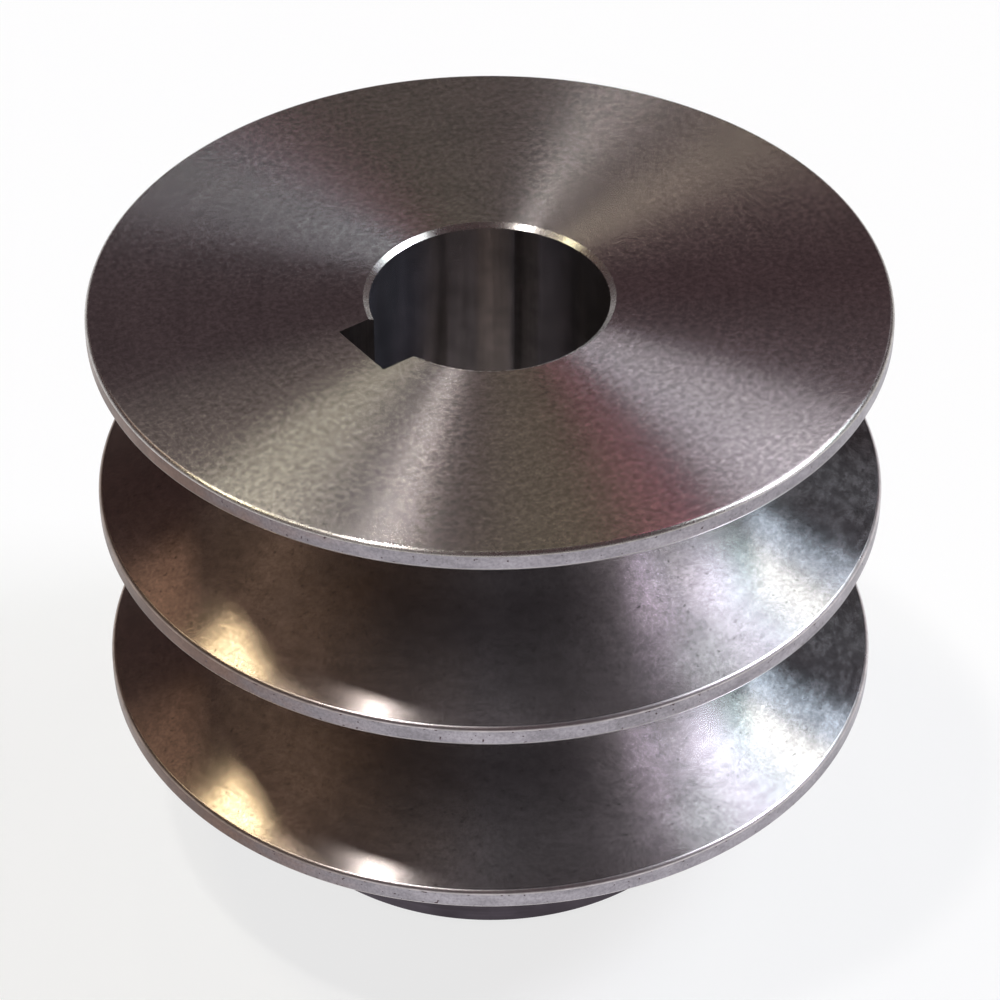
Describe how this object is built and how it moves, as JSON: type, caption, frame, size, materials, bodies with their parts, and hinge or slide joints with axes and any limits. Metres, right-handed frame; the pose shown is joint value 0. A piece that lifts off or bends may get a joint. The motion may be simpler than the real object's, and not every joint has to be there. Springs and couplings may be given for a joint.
{
  "type": "two-groove motor pulley",
  "caption": "Turned steel V-belt pulley with belt grooves between thin flanges, a short plain hub and a keyed bore.",
  "frame": {"origin": "centre of the hub's end face, on the bore's axis, where the pulley stands", "axes": "+Z along the bore from the hub's end to the front face, -X through the keyway"},
  "size_m": [0.0636, 0.0636, 0.05],
  "materials": {
    "turned_steel": "turned and faced bare steel, lightly oiled, with fine tool marks and small dark pits"
  },
  "bodies": {
    "root": {"pulley": "turned_steel"}
  },
  "joints": []
}
